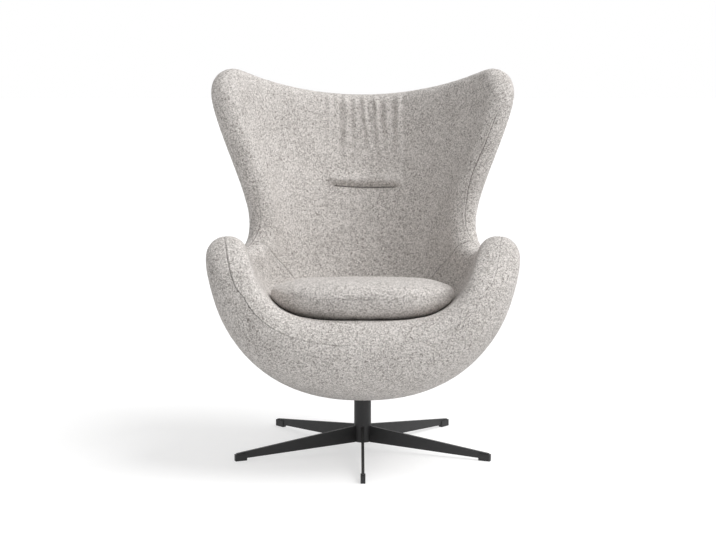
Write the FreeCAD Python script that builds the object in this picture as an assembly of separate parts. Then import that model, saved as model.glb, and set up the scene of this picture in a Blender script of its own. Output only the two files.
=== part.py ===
import FreeCAD, Part
from FreeCAD import Vector
import math
import os

os.makedirs("parts", exist_ok=True)

# The floor is at zero height and the swivel axis stands on the origin.
# The chair faces the negative Y direction. All sizes are in millimetres.

# Leading sizes of the padded shell
back_height = 985.0
front_reach = 395.0
seat_thickness = 210.0
arm_half_width = 371.0
arm_rise = 345.0
rim_half_thickness = 54.0
front_nose = 60.0
top_nose = 40.0
front_corner = 110.0
top_corner = 165.0

# Ribs of the shell from the front lip to the top of the back. Place and height belong to the middle
# of each rib. Lean is how far its plane tips back from upright, and curl is how far its arc turns up.
rib_shares = [0.0, 0.10, 0.22, 0.36, 0.50, 0.60, 0.72, 0.86, 1.0]
place_shares = [-1.0, -0.815, -0.506, -0.076, 0.304, 0.506, 0.648, 0.788, 0.919]
height_shares = [0.376, 0.333, 0.290, 0.270, 0.307, 0.426, 0.579, 0.782, 1.0]
thickness_shares = [0.732, 0.878, 0.976, 1.0, 0.854, 0.683, 0.576, 0.512, 0.439]
half_width_shares = [0.886, 0.970, 0.995, 0.980, 0.900, 0.812, 0.785, 0.960, 1.143]
rise_shares = [0.667, 0.870, 0.985, 0.960, 0.925, 0.765, 0.740, 0.920, 1.142]
rim_shares = [0.926, 0.981, 1.0, 0.962, 0.870, 0.760, 0.704, 0.704, 0.667]
lean_angles = [-16.0, -12.0, -4.0, 12.0, 33.0, 50.0, 65.0, 72.0, 72.0]
curl_angles = [86.0, 86.0, 86.0, 86.0, 86.0, 84.0, 80.0, 68.0, 52.0]
flatness_powers = [1.30, 1.29, 1.25, 1.16, 1.05, 1.0, 1.0, 1.0, 1.0]

# How finely the shell is described
nose_steps = 4
rim_steps = 4
body_columns = 8
run_rows = 12
midline_steps = 24

# Layers of the shell, counted inward from its surface
cover_thickness = 2.0
layer_gap = 0.3
pad_depth = 32.0
rigid_thickness = 6.0
pocket_margin = 1.0

# Swivel plate and the block that carries it
plate_radius = 50.0
plate_thickness = 6.0
block_thickness = 12.0
block_window_shares = (0.3, 0.7)
glue_gap = 0.2
hole_margin = 1.0
screw_circle_radius = 37.0
screw_count = 4
first_screw_angle = 45.0
screw_radius = 4.0
screw_head_radius = 8.0
screw_head_depth = 4.4
screw_length = 13.0
insert_radius = 6.0
insert_length = 8.0
head_clearance = 0.1

# Column, bushes and spindle
column_radius = 24.0
column_wall = 4.0
column_foot = 24.0
cover_hole_radius = 28.0
spindle_radius = 14.0
running_clearance = 0.05
collar_radius = 23.0
collar_thickness = 3.0
thrust_thickness = 2.5
thrust_clearance = 1.0
bush_flange = 2.5
upper_bush_length = 40.0
lower_bush_length = 25.0
lower_bush_height = 52.0
spindle_overhang = 0.3
keeper_radius = 18.0
keeper_thickness = 3.0
keeper_screw_radius = 4.0
keeper_screw_length = 24.0
keeper_head_radius = 7.0
keeper_head_height = 5.0
cap_flange = 2.5
cap_plug_length = 10.0
hem_ring_outer = 42.0
hem_ring_inner = 29.0
hem_ring_thickness = 2.5

# Star base
foot_circle_radius = 363.6
leg_thickness = 8.0
leg_hub_top = 70.0
leg_hub_foot = 21.5
leg_tip_height = 15.0
leg_lift = 6.5
glide_length = 34.0
glide_width = 13.0
glide_height = 19.0
glide_lip = 5.0
glide_round = 2.0
glide_chamfer = 0.8
front_angle = -90.0
side_angle = 67.2
rear_angle = 137.8

# Loose seat cushion. Its outline is given in even steps from the front round to the back.
cushion_centre_share = -0.266
cushion_front_margin = 46.9
cushion_corner_swell = 31.0
cushion_shoulder_swell = 26.0
cushion_side_reach = 300.0
cushion_seam_lift = 79.1
cushion_tilt_angle = 6.0
cushion_top_rise = 43.0
cushion_drop = 92.0
cushion_side_gap = 5.0
cushion_rest_gap = 0.6
cushion_ease = 5.0
cushion_steps = 6
outline_steps = 6
seam_swell = 0.01
zip_half_length = 120.0
zip_half_height = 4.0
zip_thickness = 1.2
zip_gap = 0.3
pull_length = 14.0
pull_height = 5.0
pull_thickness = 1.0

# Stitched tuck across the head of the back
tuck_half_width = 90.0
tuck_height = 730.0
tuck_sag = 5.0
groove_radius = 2.2
groove_offset = 0.8
thread_radius = 0.9
thread_gap = 0.05
tuck_points = 7

up = Vector(0, 0, 1)
backward = Vector(0, 1, 0)
quarter_turn = math.pi / 2


def spline(points, places):
    # A smooth curve that passes each point at its own place.
    curve = Part.BSplineCurve()
    curve.interpolate(Points=list(points), Parameters=list(places))
    return curve


def scaled(shares, size):
    return [share * size for share in shares]


def line_of(*columns):
    # One curve that carries up to three quantities of the ribs.
    filled = list(columns) + [[0.0] * len(rib_shares)] * (3 - len(columns))
    return spline([Vector(*values) for values in zip(*filled)], rib_shares)


profile = line_of([0.0] * len(rib_shares), scaled(place_shares, front_reach),
                  scaled(height_shares, back_height))
width_line = line_of(scaled(half_width_shares, arm_half_width), scaled(rise_shares, arm_rise))
depth_line = line_of(scaled(thickness_shares, seat_thickness), scaled(rim_shares, rim_half_thickness))
bend_line = line_of(lean_angles, curl_angles, flatness_powers)
rib_lines = (profile, width_line, depth_line, bend_line)
profile_length = profile.length()


def quarter_angles(steps):
    return [quarter_turn * i / steps for i in range(steps + 1)]


def row_places(inset):
    # Distance along the profile and fullness of every rib: a rounded nose at each end, even steps between.
    angles = quarter_angles(nose_steps)
    front = [(inset + (front_nose - inset) * (1 - math.cos(a)), math.sin(a)) for a in angles]
    top = [(profile_length - inset - (top_nose - inset) * (1 - math.cos(a)), math.sin(a))
           for a in reversed(angles)]
    step = (profile_length - front_nose - top_nose) / run_rows
    return front + [(front_nose + step * i, 1.0) for i in range(1, run_rows)] + top


def rim_reach(full, along, inset):
    # How far a rib runs out from the centre, with both corners of the shell rounded off.
    for corner, distance in ((front_corner, along), (top_corner, profile_length - along)):
        if distance < corner:
            return full - corner + math.sqrt(max(0.0, (corner - inset) ** 2 - (corner - distance) ** 2))
    return full - inset


def middle_line(half_width, rise, curl, flatness):
    # The middle of one rib from the centre to the rim, drawn flat.
    angles = [math.radians(curl) * i / midline_steps for i in range(midline_steps + 1)]
    points = []
    for angle in angles:
        lift = (1 - math.cos(angle)) / (1 - math.cos(angles[-1]))
        x = half_width * math.sin(angle) / math.sin(angles[-1])
        points.append(Vector(x, rise * lift ** flatness, 0))
    return spline(points, angles)


def column_places(start, reach):
    # Distance from the centre and roundness of every point of a rib: even steps, then the rounded rim.
    body = [(start * i / body_columns, 1.0) for i in range(body_columns + 1)]
    cap = [(start + (reach - start) * math.sin(a), math.cos(a)) for a in quarter_angles(rim_steps)]
    return body + cap[1:]


def rib(skin_along, along, fullness, inset):
    # Inner and outer points of one rib, from the centre to the rim. The skin's own rib sets the columns.
    share = profile.parameterAtDistance(along, 0.0)
    centre, widths, depths, bends = [curve.value(share) for curve in rib_lines]
    lean = math.radians(bends.x)
    middle = middle_line(widths.x, widths.y, bends.y, bends.z)
    skin_reach = rim_reach(middle.length(), skin_along, 0.0)
    reach = rim_reach(middle.length(), along, inset)
    inner, outer = [], []
    for distance, roundness in column_places(skin_reach - depths.y, reach):
        place = middle.parameterAtDistance(distance, 0.0)
        spot, run = middle.value(place), middle.tangent(place)[0]
        bulge = (1 - min(1.0, distance / skin_reach) ** 2) ** 2
        half = (depths.y + (depths.x / 2 - depths.y) * bulge - inset) * roundness * fullness
        for side, points in ((half, inner), (-half, outer)):
            flat = spot + Vector(-run.y, run.x, 0) * side
            points.append(centre + Vector(flat.x, -math.sin(lean) * flat.y, math.cos(lean) * flat.y))
    return inner, outer


def both_sides(points):
    mirrored = [Vector(-p.x, p.y, p.z) for p in reversed(points[1:])]
    return mirrored + points


def rib_rows(inset):
    # All ribs of the inner face and all ribs of the outer face.
    skin_places = [along for along, fullness in row_places(0.0)]
    pairs = [rib(skin, along, fullness, inset)
             for skin, (along, fullness) in zip(skin_places, row_places(inset))]
    return [both_sides(inner) for inner, outer in pairs], [both_sides(outer) for inner, outer in pairs]


def running_lengths(points):
    lengths = [0.0]
    for before, after in zip(points, points[1:]):
        lengths.append(lengths[-1] + before.distanceToPoint(after))
    return lengths


def surface_through(rows, across, along):
    # A smooth face through a net of points. Faces with the same places share their edges exactly.
    row_curves = [spline(row, across) for row in rows]
    pole_columns = zip(*[curve.getPoles() for curve in row_curves])
    column_curves = [spline(column, along) for column in pole_columns]
    first_row, first_column = row_curves[0], column_curves[0]
    surface = Part.BSplineSurface()
    surface.buildFromPolesMultsKnots(
        [curve.getPoles() for curve in column_curves],
        first_row.getMultiplicities(), first_column.getMultiplicities(),
        first_row.getKnots(), first_column.getKnots(), False, False,
        first_row.Degree, first_column.Degree)
    return surface


def closed_solid(faces):
    shell = Part.makeShell(faces)
    shell.sewShape()
    solid = Part.makeSolid(shell)
    if solid.Volume < 0:
        solid.reverse()
    return solid


def walls(upper, lower, across, along):
    # The four edge strips between two faces that lie one over the other.
    edges = [(upper.uIso(u).toShape(*along), lower.uIso(u).toShape(*along)) for u in across]
    edges += [(upper.vIso(v).toShape(*across), lower.vIso(v).toShape(*across)) for v in along]
    return [Part.makeRuledSurface(over, under) for over, under in edges]


def sheet(upper, lower, across, along):
    # A thin solid between two faces.
    faces = [surface.toShape(*across, *along) for surface in (upper, lower)]
    return closed_solid(faces + walls(upper, lower, across, along))


def patches(surface, across, along, skip_middle):
    # The face cut into three by three patches, with the middle one left out when asked.
    faces = []
    for i in range(3):
        for j in range(3):
            if not (skip_middle and i == j == 1):
                faces.append(surface.toShape(across[i], across[i + 1], along[j], along[j + 1]))
    return faces


def cylinder(radius, low, high, x=0.0, y=0.0):
    return Part.makeCylinder(radius, high - low, Vector(x, y, low), up)


def ring(outer_radius, inner_radius, low, high):
    return cylinder(outer_radius, low, high).cut(cylinder(inner_radius, low, high))


def height_on_axis(surface, x=0.0, y=0.0):
    # Height at which a vertical line first meets a face.
    upright = Part.Line(Vector(x, y, 0), Vector(x, y, back_height))
    return min(point.Z for point in upright.intersect(surface)[0])


def save(name, shape):
    shape.exportStep("parts/" + name + ".step")


# Faces of the shell at the depths where its layers meet
inner_rows, outer_rows = rib_rows(0.0)
across_places = running_lengths(outer_rows[len(outer_rows) // 2])
along_places = running_lengths([row[len(row) // 2] for row in outer_rows])
whole_across = (across_places[0], across_places[-1])
whole_along = (along_places[0], along_places[-1])


def shell_faces(inset):
    inner, outer = rib_rows(inset)
    return [surface_through(rows, across_places, along_places) for rows in (inner, outer)]


def deep_face(inset):
    # The outer face moved inward, without its rounded rim and noses.
    rows = [row[rim_steps:-rim_steps] for row in rib_rows(inset)[1][nose_steps:-nose_steps]]
    return surface_through(rows, across_places[rim_steps:-rim_steps], along_places[nose_steps:-nose_steps])


inner_skin, outer_skin = shell_faces(0.0)
inner_lining, outer_lining = shell_faces(cover_thickness)
inner_foam, outer_foam = shell_faces(cover_thickness + layer_gap)
pad_back = deep_face(pad_depth - layer_gap)
rigid_front = deep_face(pad_depth)
rigid_back = deep_face(pad_depth + rigid_thickness)
pocket_floor = deep_face(pad_depth + rigid_thickness + layer_gap)

pocket_across = (across_places[rim_steps], across_places[-rim_steps - 1])
pocket_along = (along_places[nose_steps], along_places[-nose_steps - 1])
fill_across = (pocket_across[0] + pocket_margin, pocket_across[1] - pocket_margin)
fill_along = (pocket_along[0] + pocket_margin, pocket_along[1] - pocket_margin)

# Heights of the swivel stack, worked out from the shell's underside
rigid_foot = height_on_axis(rigid_front)
plate_top = rigid_foot - block_thickness
plate_foot = plate_top - plate_thickness
collar_foot = plate_foot - collar_thickness
thrust_foot = collar_foot - thrust_thickness
column_top = thrust_foot - bush_flange
bore_radius = column_radius - column_wall


def shell_foam():
    # One foam body round the rigid shell, which lies in a pocket in its outer side.
    across = (whole_across[0], *pocket_across, whole_across[1])
    along = (whole_along[0], *pocket_along, whole_along[1])
    faces = patches(inner_foam, across, along, False) + patches(outer_foam, across, along, True)
    faces += walls(outer_foam, pocket_floor, pocket_across, pocket_along)
    faces.append(pocket_floor.toShape(*pocket_across, *pocket_along))
    return closed_solid(faces)


def outer_pad():
    pad = sheet(outer_foam, pad_back, fill_across, fill_along)
    return pad.cut(cylinder(plate_radius + hole_margin, 0.0, plate_top + rim_half_thickness))


def outer_cover():
    cover = sheet(outer_skin, outer_lining, whole_across, whole_along)
    return cover.cut(cylinder(cover_hole_radius, 0.0, plate_top))


def screw_spots():
    angles = [math.radians(first_screw_angle) + 4 * quarter_turn * i / screw_count
              for i in range(screw_count)]
    return [(screw_circle_radius * math.cos(a), screw_circle_radius * math.sin(a)) for a in angles]


def plate_screw(x, y, clearance):
    # A countersunk screw that points up, with its head level with the plate's underside.
    head = Part.makeCone(screw_head_radius + clearance, screw_radius + clearance, screw_head_depth,
                         Vector(x, y, plate_foot), up)
    return head.fuse(cylinder(screw_radius + clearance, plate_foot, plate_foot + screw_length, x, y))


def mounting_plate():
    plate = cylinder(plate_radius, plate_foot, plate_top)
    for x, y in screw_spots():
        plate = plate.cut(plate_screw(x, y, head_clearance))
    return plate


def threaded_insert(x, y):
    body = cylinder(insert_radius, plate_top, plate_top + insert_length, x, y)
    return body.cut(cylinder(screw_radius, plate_top, plate_top + insert_length, x, y))


def carrier_block():
    # A round block under the rigid shell. Its upper side follows the shell.
    beneath = deep_face(pad_depth - glue_gap)
    pocket_width = pocket_across[1] - pocket_across[0]
    window = [pocket_across[0] + pocket_width * share for share in block_window_shares]
    above = beneath.toShape(*window, *pocket_along).extrude(Vector(0, 0, seat_thickness))
    block = cylinder(plate_radius, plate_top, plate_top + block_thickness + rim_half_thickness).cut(above)
    block = min(block.Solids, key=lambda solid: solid.BoundBox.ZMin)
    for x, y in screw_spots():
        block = block.cut(cylinder(insert_radius, plate_top, plate_top + insert_length, x, y))
    return block


def spindle():
    shaft_foot = lower_bush_height - spindle_overhang
    shaft = cylinder(spindle_radius, shaft_foot, collar_foot)
    shaft = shaft.fuse(cylinder(collar_radius, collar_foot, plate_foot)).removeSplitter()
    return shaft.cut(cylinder(keeper_screw_radius, shaft_foot, shaft_foot + keeper_screw_length))


def keeper_screw():
    washer_foot = lower_bush_height - spindle_overhang - keeper_thickness
    shaft = cylinder(keeper_screw_radius, washer_foot, washer_foot + keeper_thickness + keeper_screw_length)
    head = cylinder(keeper_head_radius, washer_foot - keeper_head_height, washer_foot)
    return shaft.fuse(head).removeSplitter()


def keeper_washer():
    top = lower_bush_height - spindle_overhang
    return ring(keeper_radius, keeper_screw_radius, top - keeper_thickness, top)


def bush(low, high, flange):
    body = cylinder(bore_radius, low, high)
    if flange:
        body = body.fuse(cylinder(column_radius, high, high + flange)).removeSplitter()
    return body.cut(cylinder(spindle_radius + running_clearance, low, high + flange))


def column_cap():
    plug = cylinder(bore_radius, column_foot, column_foot + cap_plug_length)
    return plug.fuse(cylinder(column_radius, column_foot - cap_flange, column_foot)).removeSplitter()


def upright_plate(corners, thickness):
    # A flat plate that stands along the X direction.
    points = [Vector(x, -thickness / 2, z) for x, z in corners]
    return Part.Face(Part.makePolygon(points + points[:1])).extrude(Vector(0, thickness, 0))


def leg():
    glide_foot = foot_circle_radius - glide_length / 2
    tip = foot_circle_radius + glide_length / 2 - glide_lip
    corners = [(0.0, leg_hub_foot), (glide_foot, leg_lift), (tip, leg_lift),
               (tip, leg_lift + leg_tip_height), (0.0, leg_hub_top)]
    return upright_plate(corners, leg_thickness).cut(cylinder(column_radius, 0.0, leg_hub_top))


def glide():
    # A push-on shoe, open above and towards the column.
    start = foot_circle_radius - glide_length / 2
    body = Part.makeBox(glide_length, glide_width, glide_height, Vector(start, -glide_width / 2, 0))
    upright = [e for e in body.Edges if abs(e.Vertexes[0].Z - e.Vertexes[1].Z) > glide_chamfer]
    body = body.makeFillet(glide_round, upright)
    low = [e for e in body.Edges if e.BoundBox.ZMax < glide_chamfer]
    body = body.makeChamfer(glide_chamfer, low)
    slot = Part.makeBox(glide_length - glide_lip, leg_thickness, glide_height,
                        Vector(start, -leg_thickness / 2, leg_lift))
    return body.cut(slot)


def turned(shape, angle):
    copy = shape.copy()
    copy.rotate(Vector(0, 0, 0), up, angle)
    return copy


# The cushion lies in the shell, so its outline and its underside are measured off the shell.
middle_depth = cushion_centre_share * front_reach
cushion_middle = Vector(0, middle_depth, height_on_axis(inner_skin, 0.0, middle_depth) + cushion_seam_lift)
cushion_front_reach = front_reach + middle_depth - cushion_front_margin
front_swells = (0.0, cushion_corner_swell, cushion_shoulder_swell)
outline_limits = [cushion_front_reach + swell for swell in front_swells]
outline_limits += [cushion_side_reach] * (outline_steps + 1 - len(front_swells))
zip_depth = zip_gap + zip_thickness + pull_thickness


def seam_direction(angle):
    # Level distance of one from the cushion's centre, on the plane of its seam.
    slope = math.tan(math.radians(cushion_tilt_angle))
    return Vector(math.sin(angle), -math.cos(angle), math.cos(angle) * slope)


def room_in_shell(angle):
    # Level distance from the cushion's centre to near the shell's inner face, along the plane of the seam.
    # Towards the back the gap grows by the depth of the zip.
    direction = seam_direction(angle)
    crossings = Part.Line(cushion_middle, cushion_middle + direction).intersect(inner_skin)[0]
    spots = [Vector(p.X, p.Y, p.Z) - cushion_middle for p in crossings]
    reaches = [math.hypot(spot.x, spot.y) for spot in spots if spot.dot(direction) > 0]
    return min(reaches + [front_reach]) - cushion_side_gap - zip_depth * max(0.0, -math.cos(angle))


def cushion_outline():
    # Reach of the outline against the angle from the front.
    angles = [math.pi * i / outline_steps for i in range(outline_steps + 1)]
    reaches = [min(limit, room_in_shell(angle)) for limit, angle in zip(outline_limits, angles)]
    mirrored = [-angle for angle in reversed(angles[1:])]
    values = list(reversed(reaches[1:])) + reaches
    return spline([Vector(value, 0, 0) for value in values], mirrored + angles)


def soft_larger(first, second):
    # The larger of two heights, eased where they cross.
    return (first + second + math.sqrt((first - second) ** 2 + cushion_ease ** 2)) / 2


def cushion_point(across, along, outline, inset):
    # Upper and lower point of the cushion for one pair of angles between its seams.
    u, v = math.sin(across), math.sin(along)
    x, y = u * math.sqrt(1 - v * v / 2), v * math.sqrt(1 - u * u / 2)
    spread = min(1.0, math.hypot(x, y))
    angle = math.atan2(x, -y)
    reach = (outline.value(angle).x - inset) * spread
    spot = cushion_middle + seam_direction(angle) * reach
    swell = math.sqrt(max(0.0, 1 - spread * spread))
    top = spot.z + (cushion_top_rise - inset) * math.sqrt(max(0.0, 1 - spread ** 4))
    bottom = spot.z - (cushion_drop - inset) * swell
    if swell > seam_swell:
        rest = height_on_axis(inner_skin, spot.x, spot.y) + cushion_rest_gap + inset
        bottom = min(spot.z, soft_larger(bottom, rest))
    return Vector(spot.x, spot.y, top), Vector(spot.x, spot.y, bottom)


def cushion_faces(inset):
    angles = [quarter_turn * i / cushion_steps for i in range(-cushion_steps, cushion_steps + 1)]
    outline = cushion_outline()
    pairs = [[cushion_point(across, along, outline, inset) for across in angles] for along in angles]
    places = [angle + quarter_turn for angle in angles]
    nets = [[[pair[side] for pair in row] for row in pairs] for side in (0, 1)]
    return [surface_through(net, places, places) for net in nets]


cushion_span = (0.0, 2 * quarter_turn)
cushion_top, cushion_bottom = cushion_faces(0.0)
lining_top, lining_bottom = cushion_faces(cover_thickness)
core_top, core_bottom = cushion_faces(cover_thickness + layer_gap)


def back_seam(half_length):
    # The stretch of the cushion's back seam that the zip follows.
    seam = cushion_top.vIso(cushion_span[1])
    length, middle = seam.length(), seam.length() / 2
    ends = [seam.parameterAtDistance(middle + offset, 0.0) for offset in (-half_length, half_length)]
    return seam.toShape(*ends)


def zip_tape():
    edge = back_seam(zip_half_length)
    low, high = edge.copy(), edge.copy()
    low.translate(Vector(0, zip_gap, -zip_half_height))
    high.translate(Vector(0, zip_gap, zip_half_height))
    return Part.makeRuledSurface(low, high).extrude(Vector(0, zip_thickness, 0))


def zip_pull():
    seam = back_seam(pull_length / 2)
    low = Vector(-pull_length / 2, seam.BoundBox.YMax + zip_gap + zip_thickness,
                 seam.BoundBox.ZMin - pull_height / 2)
    return Part.makeBox(pull_length, pull_thickness, pull_height, low)


def tuck_tube(forward, radius):
    # A round tube along the tuck, that far in front of the inner face.
    spots = []
    for i in range(tuck_points):
        x = tuck_half_width * (2 * i / (tuck_points - 1) - 1)
        start = Vector(x, 0, tuck_height - tuck_sag * (1 - (x / tuck_half_width) ** 2))
        crossings = Part.Line(start, start + backward).intersect(inner_skin)[0]
        y = min(point.Y for point in crossings if point.Y > 0)
        spots.append(Vector(x, y - forward, start.z))
    path = spline(spots, range(tuck_points))
    rim = Part.Wire(Part.Edge(Part.Circle(spots[0], path.tangent(0.0)[0], radius)))
    return Part.Wire(path.toShape()).makePipeShell([rim], True, True)


def tuck_thread():
    # The thread lies at the bottom of its groove.
    return tuck_tube(groove_offset - (groove_radius - thread_radius - thread_gap), thread_radius)


def inner_cover():
    cover = sheet(inner_skin, inner_lining, whole_across, whole_along)
    return cover.cut(tuck_tube(groove_offset, groove_radius))


# Star base and column
save("column_tube", ring(column_radius, bore_radius, column_foot, column_top))
save("column_cap", column_cap())
save("lower_bush", bush(lower_bush_height, lower_bush_height + lower_bush_length, 0.0))
save("upper_bush", bush(column_top - upper_bush_length, column_top, bush_flange))
save("thrust_washer", ring(collar_radius, spindle_radius + thrust_clearance, thrust_foot, collar_foot))
for side, turn in (("front", 0.0), ("front_right", side_angle), ("front_left", -side_angle),
                   ("rear_right", rear_angle), ("rear_left", -rear_angle)):
    save("leg_" + side, turned(leg(), front_angle + turn))
    save("glide_" + side, turned(glide(), front_angle + turn))

# Parts that turn with the seat
save("spindle", spindle())
save("keeper_washer", keeper_washer())
save("keeper_screw", keeper_screw())
save("mounting_plate", mounting_plate())
save("plate_screws", Part.makeCompound([plate_screw(x, y, 0.0) for x, y in screw_spots()]))
save("threaded_inserts", Part.makeCompound([threaded_insert(x, y) for x, y in screw_spots()]))
save("carrier_block", carrier_block())
save("hem_ring", ring(hem_ring_outer, hem_ring_inner, plate_foot - hem_ring_thickness, plate_foot))
save("rigid_shell", sheet(rigid_front, rigid_back, fill_across, fill_along))
save("outer_pad", outer_pad())
save("shell_foam", shell_foam())
save("inner_cover", inner_cover())
save("outer_cover", outer_cover())
save("tuck_thread", tuck_thread())

# Loose cushion
save("cushion_foam", closed_solid([core_top.toShape(), core_bottom.toShape()]))
save("cushion_top_panel", sheet(cushion_top, lining_top, cushion_span, cushion_span))
save("cushion_bottom_panel", sheet(cushion_bottom, lining_bottom, cushion_span, cushion_span))
save("zip_tape", zip_tape())
save("zip_pull", zip_pull())
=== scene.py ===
import math

import bpy
import numpy as np
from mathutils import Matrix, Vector, noise
from mathutils.bvhtree import BVHTree
from mathutils.kdtree import KDTree


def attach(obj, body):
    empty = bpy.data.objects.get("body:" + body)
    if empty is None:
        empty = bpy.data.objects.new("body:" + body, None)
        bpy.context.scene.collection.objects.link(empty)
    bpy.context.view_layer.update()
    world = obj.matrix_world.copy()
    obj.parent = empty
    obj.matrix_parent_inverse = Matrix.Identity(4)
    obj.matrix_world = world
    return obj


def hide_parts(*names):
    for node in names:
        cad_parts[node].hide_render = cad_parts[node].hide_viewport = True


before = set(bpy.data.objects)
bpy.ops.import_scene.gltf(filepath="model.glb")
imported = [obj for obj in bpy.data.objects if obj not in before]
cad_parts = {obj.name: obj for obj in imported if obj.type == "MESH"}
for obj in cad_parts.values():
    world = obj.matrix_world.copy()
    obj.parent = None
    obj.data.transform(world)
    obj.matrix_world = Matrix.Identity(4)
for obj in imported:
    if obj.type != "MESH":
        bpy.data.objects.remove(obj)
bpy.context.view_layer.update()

scene = bpy.context.scene
print("frame loaded")


# Small helpers for node trees and meshes

def feed(tree, node, values):
    # each input gets a link from another node's output, or a fixed value
    for socket, source in values.items():
        if isinstance(source, bpy.types.NodeSocket):
            tree.links.new(source, node.inputs[socket])
        else:
            node.inputs[socket].default_value = source


def place(tree, kind, values=None, **settings):
    node = tree.nodes.new(kind)
    for key, value in settings.items():
        setattr(node, key, value)
    feed(tree, node, values or {})
    return node


def newGroup(name, kind, inputs, outputs):
    # an input says its label, socket type and starting value, an output its label and socket type
    tree = bpy.data.node_groups.new(name, kind)
    for label, socketType, value in inputs:
        socket = tree.interface.new_socket(label, in_out="INPUT", socket_type="NodeSocket" + socketType)
        if value is not None:
            socket.default_value = value
    for label, socketType in outputs:
        tree.interface.new_socket(label, in_out="OUTPUT", socket_type="NodeSocket" + socketType)
    return tree, tree.nodes.new("NodeGroupInput").outputs, tree.nodes.new("NodeGroupOutput")


def calc(tree, operation, *values):
    return place(tree, "ShaderNodeMath", dict(enumerate(values)), operation=operation).outputs[0]


def vectorCalc(tree, operation, *values):
    return place(tree, "ShaderNodeVectorMath", dict(enumerate(values)), operation=operation).outputs[0]


def mixColors(tree, share, first, second):
    mix = place(tree, "ShaderNodeMix", {0: share, 6: first, 7: second}, data_type="RGBA",
                clamp_factor=True)
    return mix.outputs[2]


def noiseAt(tree, spot, scale, detail, roughness=0.5):
    return place(tree, "ShaderNodeTexNoise", {"Vector": spot, "Scale": scale, "Detail": detail,
                                              "Roughness": roughness}).outputs


def srgb(red, green, blue):
    # colour as a paint program shows it, 0 to 255, turned to linear light
    steps = [v / 255 for v in (red, green, blue)]
    return [s / 12.92 if s < 0.04045 else ((s + 0.055) / 1.055) ** 2.4 for s in steps] + [1.0]


def addObject(name, data):
    piece = bpy.data.objects.new(name, data)
    scene.collection.objects.link(piece)
    return piece


def meshFrom(name, points, faces):
    mesh = bpy.data.meshes.new(name)
    mesh.from_pydata([tuple(p) for p in points], [], [tuple(f) for f in faces])
    mesh.validate()
    mesh.shade_smooth()
    return addObject(name, mesh)


def bake(piece):
    # the evaluated shape as a plain mesh, with every modifier gone
    evaluated = piece.evaluated_get(bpy.context.evaluated_depsgraph_get())
    mesh = bpy.data.meshes.new_from_object(evaluated)
    piece.modifiers.clear()
    piece.data = mesh
    return piece


def pointsOf(piece, value="co"):
    points = np.empty(len(piece.data.vertices) * 3)
    piece.data.vertices.foreach_get(value, points)
    return points.reshape(-1, 3)


def setPoints(piece, points):
    piece.data.vertices.foreach_set("co", np.asarray(points, dtype=np.float32).reshape(-1))
    piece.data.update()


def setAttribute(piece, name, values):
    layer = piece.data.attributes.new(name, "FLOAT", "POINT")
    layer.data.foreach_set("value", np.asarray(values, dtype=np.float32))


# Surface effects that several materials share

yarnLoops = {
    "bend": 2.6, "bendDensity": 0.55,       # how far the cells are bent, in loop sizes, and how closely
    "rings": 15.0, "ringShift": 6.0,        # rings in a loop, and their shift from one loop to another
    "domeFall": 1.25, "fibreDensity": 4.5,
    "domeShare": 0.62, "ringShare": 0.10, "fibreShare": 0.42,
    "middleHeight": 0.55, "ownTone": 0.35,
    "patchDensity": 16.0, "patchShare": 0.30, "middleTone": 0.33,
}


def makeBoucleGroup(yarn):
    # looped yarn: bent cells with rings in them, darker between the loops as painted shade in the gaps, with
    # random tone from loop to loop and in patches
    tree, given, end = newGroup("boucleLoops", "ShaderNodeTree",
                                [("Light Yarn", "Color", None), ("Dark Yarn And Gap Shade", "Color", None),
                                 ("Loop Size", "Float", 0.006), ("Contrast", "Float", 1.0)],
                                [("Color", "Color"), ("Height", "Float")])
    spot = place(tree, "ShaderNodeTexCoord").outputs["Object"]
    density = calc(tree, "DIVIDE", 1.0, given["Loop Size"])
    curl = noiseAt(tree, spot, calc(tree, "MULTIPLY", density, yarn["bendDensity"]), 2.0, 0.6)
    centred = vectorCalc(tree, "SUBTRACT", curl["Color"], (0.5, 0.5, 0.5))
    push = calc(tree, "MULTIPLY", given["Loop Size"], yarn["bend"])
    pushed = place(tree, "ShaderNodeVectorMath", {0: centred, "Scale": push}, operation="SCALE")
    bent = vectorCalc(tree, "ADD", spot, pushed.outputs[0])
    cells = place(tree, "ShaderNodeTexVoronoi", {"Vector": bent, "Scale": density, "Randomness": 1.0})
    gap = cells.outputs["Distance"]
    tone = place(tree, "ShaderNodeSeparateColor", {0: cells.outputs["Color"]}).outputs[0]
    dome = calc(tree, "SUBTRACT", 1.0, calc(tree, "MULTIPLY", gap, yarn["domeFall"]))
    ringShift = calc(tree, "MULTIPLY", tone, yarn["ringShift"])
    rings = calc(tree, "SINE", calc(tree, "MULTIPLY_ADD", gap, yarn["rings"], ringShift))
    fibre = noiseAt(tree, bent, calc(tree, "MULTIPLY", density, yarn["fibreDensity"]), 3.0, 0.65)[0]
    height = calc(tree, "ADD", calc(tree, "MULTIPLY", dome, yarn["domeShare"]),
                  calc(tree, "MULTIPLY_ADD", rings, yarn["ringShare"],
                       calc(tree, "MULTIPLY", fibre, yarn["fibreShare"])))
    patch = noiseAt(tree, spot, yarn["patchDensity"], 3.0)[0]
    shade = calc(tree, "ADD", calc(tree, "SUBTRACT", height, yarn["middleHeight"]),
                 calc(tree, "MULTIPLY", tone, yarn["ownTone"]))
    shade = calc(tree, "MULTIPLY_ADD", shade, given["Contrast"],
                 calc(tree, "MULTIPLY_ADD", patch, yarn["patchShare"], yarn["middleTone"]))
    # low yarn takes the darker colour: painted shade in the gaps, and random tone from loop to loop and in
    # patches
    color = mixColors(tree, shade, given["Dark Yarn And Gap Shade"], given["Light Yarn"])
    feed(tree, end, {"Color": color, "Height": height})
    return tree


seamShadow = (0.035, 0.03, 0.028, 1.0)


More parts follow.
